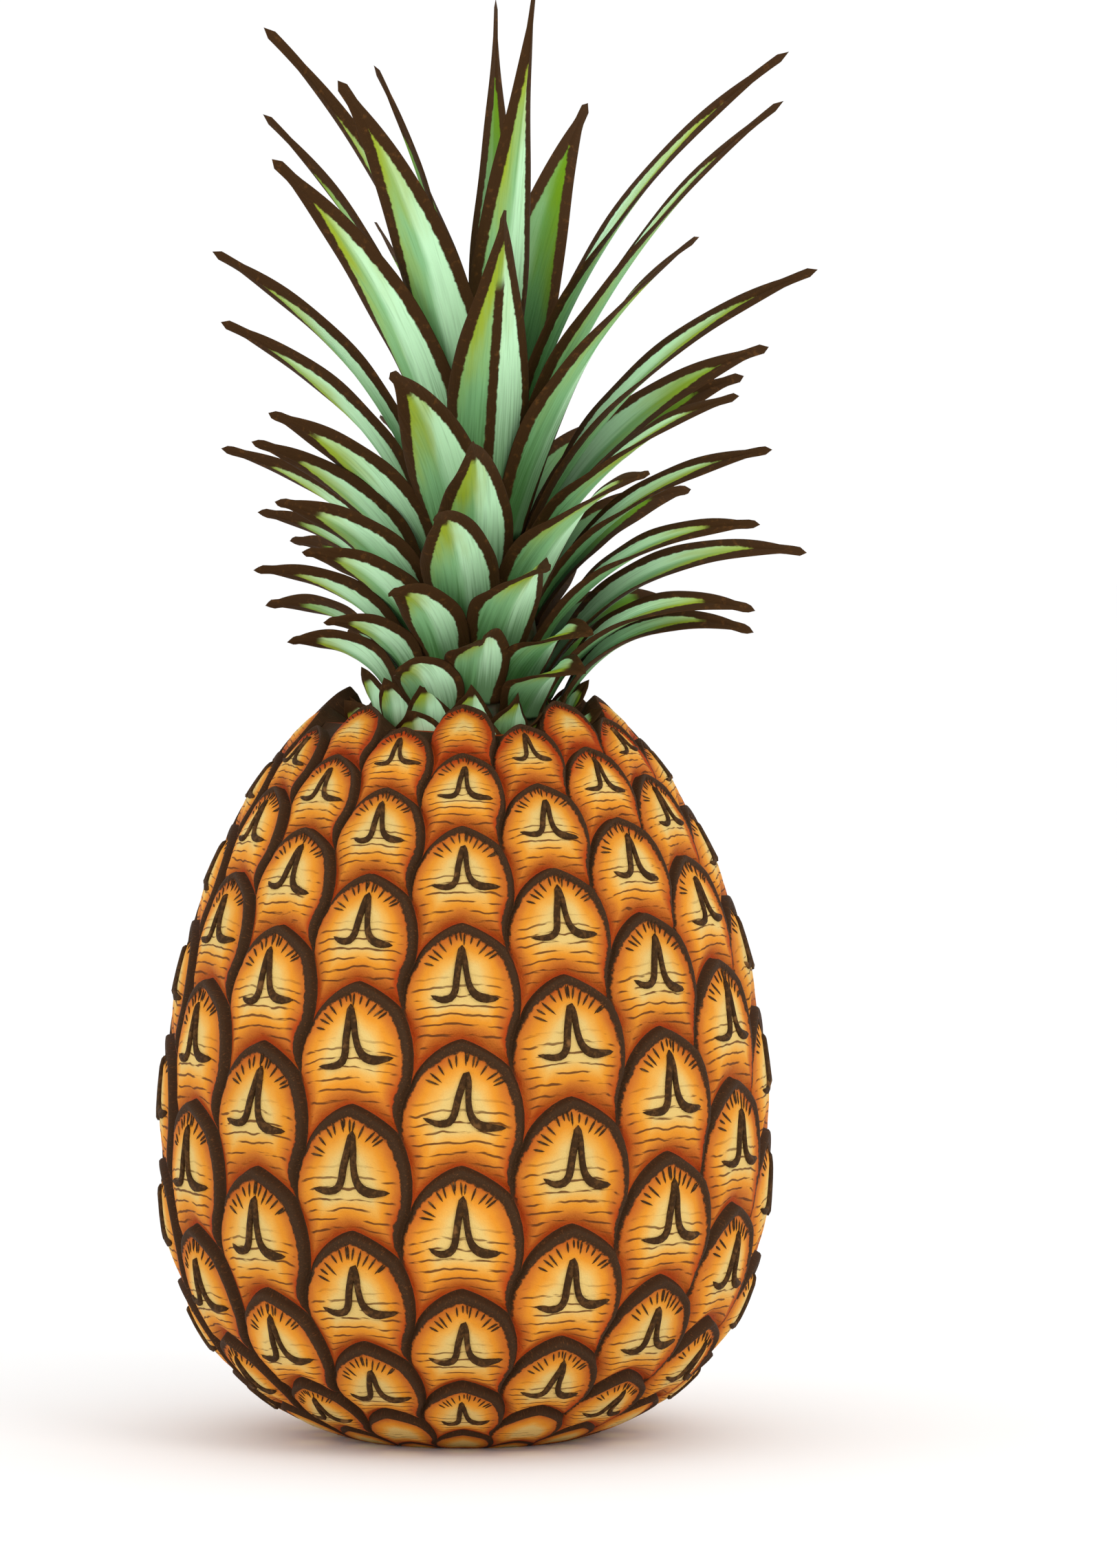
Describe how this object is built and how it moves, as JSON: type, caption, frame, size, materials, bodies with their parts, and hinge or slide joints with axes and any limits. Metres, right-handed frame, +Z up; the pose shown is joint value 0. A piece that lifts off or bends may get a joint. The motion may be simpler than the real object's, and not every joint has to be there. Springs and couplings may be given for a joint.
{
  "type": "pineapple",
  "caption": "Whole ripe pineapple standing upright on its flat base, with overlapping arched eyes in spirals and a tall crown of channelled pointed leaves",
  "frame": {"origin": "centre of the cut stalk's face, level with the flat base that the fruit stands on", "axes": "+Z up along the fruit's axis to the crown, -Y the front, +X to the right"},
  "size_m": [0.1392, 0.1299, 0.3056],
  "materials": {
    "rind": "waxy matt rind, cream to orange eyes with dark brown rims and rust-red grooves",
    "leaf": "satin sage-green blade with a brown edge, olive towards the tip and dark green at the foot",
    "stem": "matt fibrous green stem",
    "stalk": "matt cut end of a fibrous stalk"
  },
  "bodies": {
    "root": {"fruit": "rind", "crown_stem": "stem", "stalk_stub": "stalk", "leaf_01": "leaf", "leaf_02": "leaf", "leaf_03": "leaf", "leaf_04": "leaf", "leaf_05": "leaf", "leaf_06": "leaf", "leaf_07": "leaf", "leaf_08": "leaf", "leaf_09": "leaf", "leaf_10": "leaf", "leaf_11": "leaf", "leaf_12": "leaf", "leaf_13": "leaf", "leaf_14": "leaf", "leaf_15": "leaf", "leaf_16": "leaf", "leaf_17": "leaf", "leaf_18": "leaf", "leaf_19": "leaf", "leaf_20": "leaf", "leaf_21": "leaf", "leaf_22": "leaf", "leaf_23": "leaf", "leaf_24": "leaf", "leaf_25": "leaf", "leaf_26": "leaf", "leaf_27": "leaf", "leaf_28": "leaf", "leaf_29": "leaf", "leaf_30": "leaf", "leaf_31": "leaf", "leaf_32": "leaf", "leaf_33": "leaf", "leaf_34": "leaf", "leaf_35": "leaf", "leaf_36": "leaf", "leaf_37": "leaf", "leaf_38": "leaf", "leaf_39": "leaf", "leaf_40": "leaf", "leaf_41": "leaf", "leaf_42": "leaf", "leaf_43": "leaf", "leaf_44": "leaf", "leaf_45": "leaf", "leaf_46": "leaf", "leaf_47": "leaf", "leaf_48": "leaf", "leaf_49": "leaf", "leaf_50": "leaf", "leaf_51": "leaf", "leaf_52": "leaf", "leaf_53": "leaf", "leaf_54": "leaf", "leaf_55": "leaf", "leaf_56": "leaf", "leaf_57": "leaf"}
  },
  "joints": []
}
